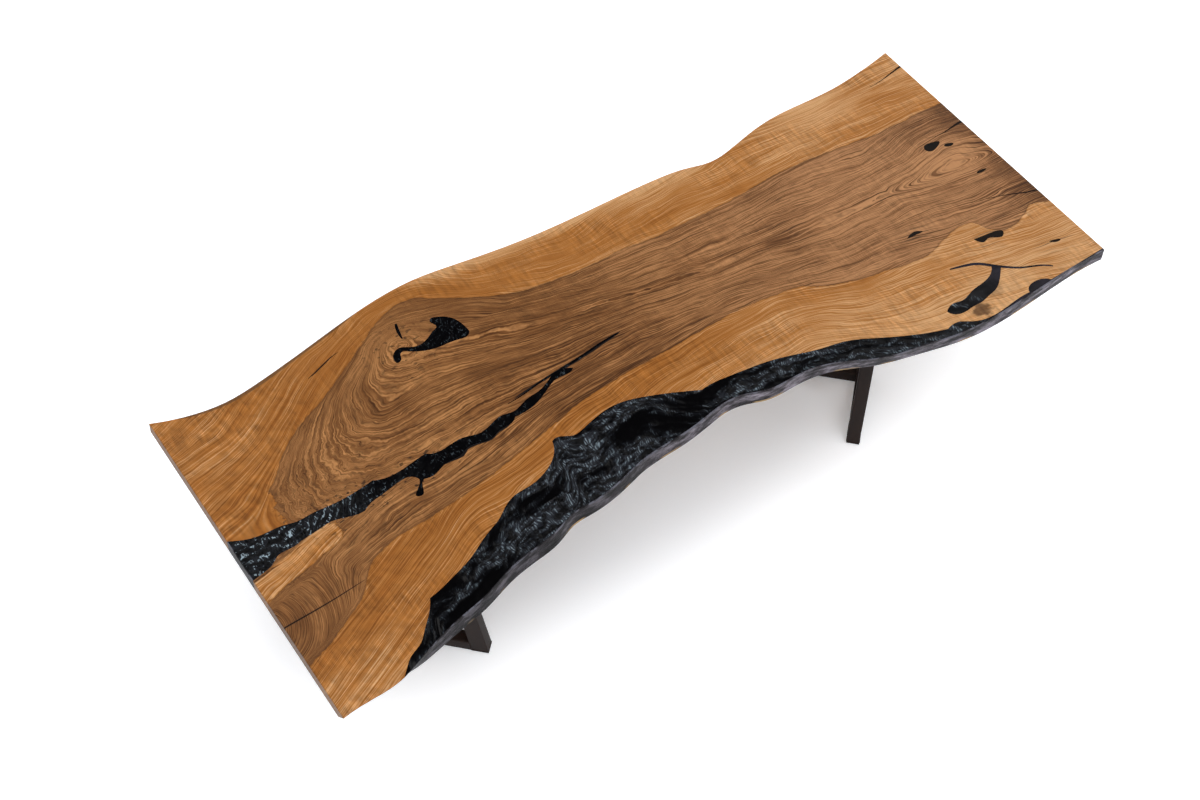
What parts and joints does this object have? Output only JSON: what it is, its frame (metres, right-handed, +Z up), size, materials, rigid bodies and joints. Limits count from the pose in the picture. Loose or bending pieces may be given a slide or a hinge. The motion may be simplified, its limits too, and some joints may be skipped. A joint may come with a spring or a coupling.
{
  "type": "epoxy resin dining table",
  "caption": "Dining table with a live-edge walnut slab, black cast resin along a long side and in its cracks, on folded steel pedestals with levelling glides.",
  "frame": {"origin": "On the floor, under the middle of the top's bounding box.", "axes": "+X along the top, +Y across it away from the long side with the resin edge, +Z up."},
  "size_m": [2.5, 1.0884, 0.75],
  "materials": {
    "walnut": "satin oil, honey sapwood along both long edges and brown figured heartwood",
    "black_resin": "polished black casting resin with faint blue-grey pearl ripples, satin on its outer edge",
    "powder_coat": "fine matte brown-black powder coat",
    "zinc_hardware": "bright zinc plate",
    "brass_insert": "turned brass",
    "glide_nylon": "moulded nylon pad on a steel stud"
  },
  "bodies": {
    "table": {"bark_pocket_fills": "black_resin", "branch_scar_resin": "black_resin", "drying_check_fills": "black_resin", "front_edge_resin": "black_resin", "knot_resin": "black_resin", "knot_slit_resin": "black_resin", "left_bolt_washers": "zinc_hardware", "left_far_floor_bar": "powder_coat", "left_far_foot_plate": "powder_coat", "left_far_post": "powder_coat", "left_far_top_bar": "powder_coat", "left_mounting_bolts": "zinc_hardware", "left_mounting_plate": "powder_coat", "left_near_floor_bar": "powder_coat", "left_near_foot_plate": "powder_coat", "left_near_post": "powder_coat", "left_near_top_bar": "powder_coat", "left_spine": "powder_coat", "left_spine_foot_plate": "powder_coat", "left_threaded_inserts": "brass_insert", "right_bolt_washers": "zinc_hardware", "right_far_floor_bar": "powder_coat", "right_far_foot_plate": "powder_coat", "right_far_post": "powder_coat", "right_far_top_bar": "powder_coat", "right_mounting_bolts": "zinc_hardware", "right_mounting_plate": "powder_coat", "right_near_floor_bar": "powder_coat", "right_near_foot_plate": "powder_coat", "right_near_post": "powder_coat", "right_near_top_bar": "powder_coat", "right_spine": "powder_coat", "right_spine_foot_plate": "powder_coat", "right_threaded_inserts": "brass_insert", "river_resin": "black_resin", "walnut_slab": "walnut"},
    "left_far_glide": {"left_far_glide": "glide_nylon"},
    "left_near_glide": {"left_near_glide": "glide_nylon"},
    "left_spine_glide": {"left_spine_glide": "glide_nylon"},
    "right_far_glide": {"right_far_glide": "glide_nylon"},
    "right_near_glide": {"right_near_glide": "glide_nylon"},
    "right_spine_glide": {"right_spine_glide": "glide_nylon"}
  },
  "joints": [
    {"name": "left_far_glide_screw", "type": "slide", "parent": "table", "child": "left_far_glide", "axis": [0, 0, 1], "range_m": [-0.015, 0]},
    {"name": "left_near_glide_screw", "type": "slide", "parent": "table", "child": "left_near_glide", "axis": [0, 0, 1], "range_m": [-0.015, 0]},
    {"name": "left_spine_glide_screw", "type": "slide", "parent": "table", "child": "left_spine_glide", "axis": [0, 0, 1], "range_m": [-0.015, 0]},
    {"name": "right_far_glide_screw", "type": "slide", "parent": "table", "child": "right_far_glide", "axis": [0, 0, 1], "range_m": [-0.015, 0]},
    {"name": "right_near_glide_screw", "type": "slide", "parent": "table", "child": "right_near_glide", "axis": [0, 0, 1], "range_m": [-0.015, 0]},
    {"name": "right_spine_glide_screw", "type": "slide", "parent": "table", "child": "right_spine_glide", "axis": [0, 0, 1], "range_m": [-0.015, 0]}
  ]
}
